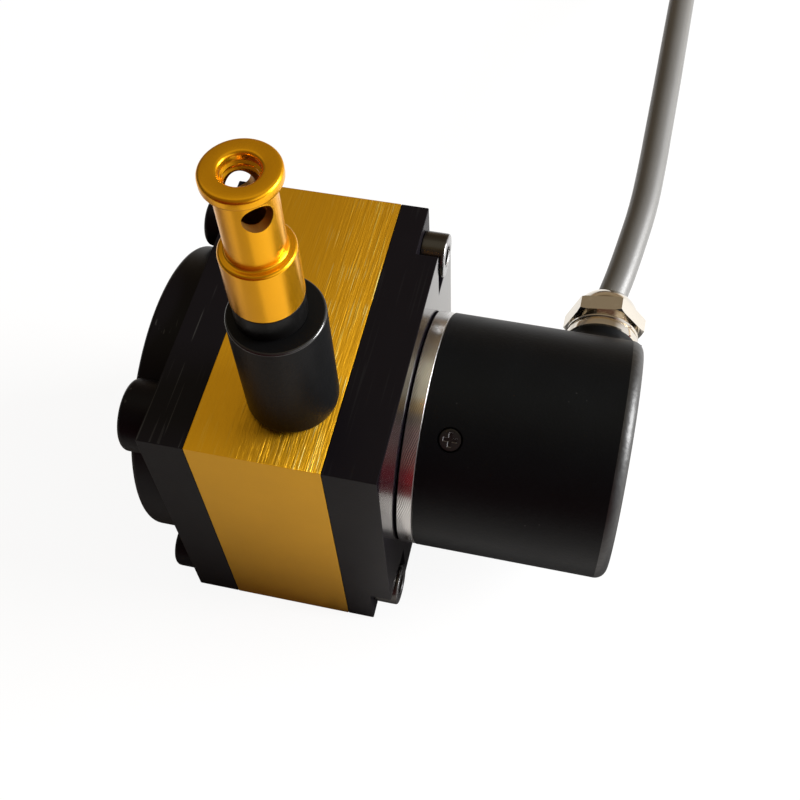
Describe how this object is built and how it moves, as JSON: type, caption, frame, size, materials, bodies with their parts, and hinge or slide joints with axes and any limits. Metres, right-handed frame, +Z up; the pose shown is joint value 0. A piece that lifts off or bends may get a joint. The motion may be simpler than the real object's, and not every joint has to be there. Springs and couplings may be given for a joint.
{
  "type": "draw wire encoder",
  "caption": "Draw wire encoder: spring return wire drum in a square housing, wire outlet with threaded end fitting, round rotary encoder with cable gland and coiled cable.",
  "frame": {"origin": "centre of the drum housing's bottom face", "axes": "+Z up, along the measuring wire; +X along the drum shaft towards the encoder; +Y to the rear, where the cable leaves"},
  "size_m": [0.0756, 0.2662, 0.0961],
  "materials": {
    "gold_anodised": "gold anodised, brushed on top",
    "gold_anodised_gloss": "gold anodised, turned and glossy",
    "black_anodised": "black anodised, satin",
    "black_paint": "matt black coating",
    "black_steel": "black oxide",
    "bare_aluminium": "turned, bare",
    "bearing_steel": "ground",
    "shaft_steel": "ground",
    "spring_steel": "blued strip",
    "wire_steel": "stranded stainless",
    "black_sleeve": "matt black coating",
    "felt": "felt",
    "ceramic": "polished",
    "black_rubber": "smooth",
    "code_glass": "etched metal disc",
    "black_plastic": "moulded",
    "board_laminate": "glass fibre laminate",
    "nickel": "nickel plated",
    "grey_sheath": "matt sheath",
    "tie_plastic": "smooth",
    "core_sheath": "coloured cores"
  },
  "bodies": {
    "housing": {"drum_housing": "gold_anodised", "spring_cover": "black_anodised", "encoder_plate": "black_anodised", "corner_screws": "black_steel", "corner_pins": "shaft_steel", "bearing_carrier": "bare_aluminium", "left_bearing": "bearing_steel", "mainspring": "spring_steel", "spring_anchor": "shaft_steel", "outlet_sleeve": "black_sleeve", "wire_wiper": "felt", "wire_guide": "ceramic", "encoder_flange": "bare_aluminium", "encoder_screws": "black_steel", "front_bearing": "bearing_steel", "rear_bearing": "bearing_steel", "sensor_head": "black_plastic", "circuit_board": "board_laminate", "board_posts": "shaft_steel", "board_screws": "shaft_steel", "encoder_can": "black_paint", "can_screws": "black_steel", "gland_body": "nickel", "gland_seal": "black_rubber", "gland_nut": "nickel", "cable_run": "grey_sheath", "cable_coil": "grey_sheath", "coil_ties": "tie_plastic", "lead_ends": "core_sheath"},
    "rotor": {"drum": "bare_aluminium", "drum_grub_screws": "black_steel", "wound_wire": "wire_steel", "spring_shaft": "shaft_steel", "spring_arbor": "shaft_steel", "encoder_shaft": "shaft_steel", "left_bearing_inner": "bearing_steel", "front_bearing_inner": "bearing_steel", "rear_bearing_inner": "bearing_steel", "disc_hub": "bare_aluminium", "code_disc": "code_glass"},
    "wire_end": {"wire_lead": "wire_steel", "wire_ferrule": "shaft_steel", "stop_bumper": "black_rubber"},
    "fitting": {"end_fitting": "gold_anodised_gloss"}
  },
  "joints": [
    {"name": "wire_pull", "type": "slide", "parent": "housing", "child": "wire_end", "axis": [0, 0, 1], "range_m": [0, 1], "stiffness_N_per_m": 1, "springref_m": -2, "deforming": ["wire_lead"]},
    {"name": "drum_spin", "type": "hinge", "parent": "housing", "child": "rotor", "pos_m": [0, 0, 0.025], "axis": [-1, 0, 0], "range_deg": [0, 4250]},
    {"name": "fitting_swivel", "type": "hinge", "parent": "wire_end", "child": "fitting", "pos_m": [0.00245, -0.0135, 0.074], "axis": [0, 0, 1], "continuous": true}
  ],
  "couplings": [
    {"joint": "drum_spin", "follows": "wire_pull", "rad_per_m": 74.074}
  ]
}
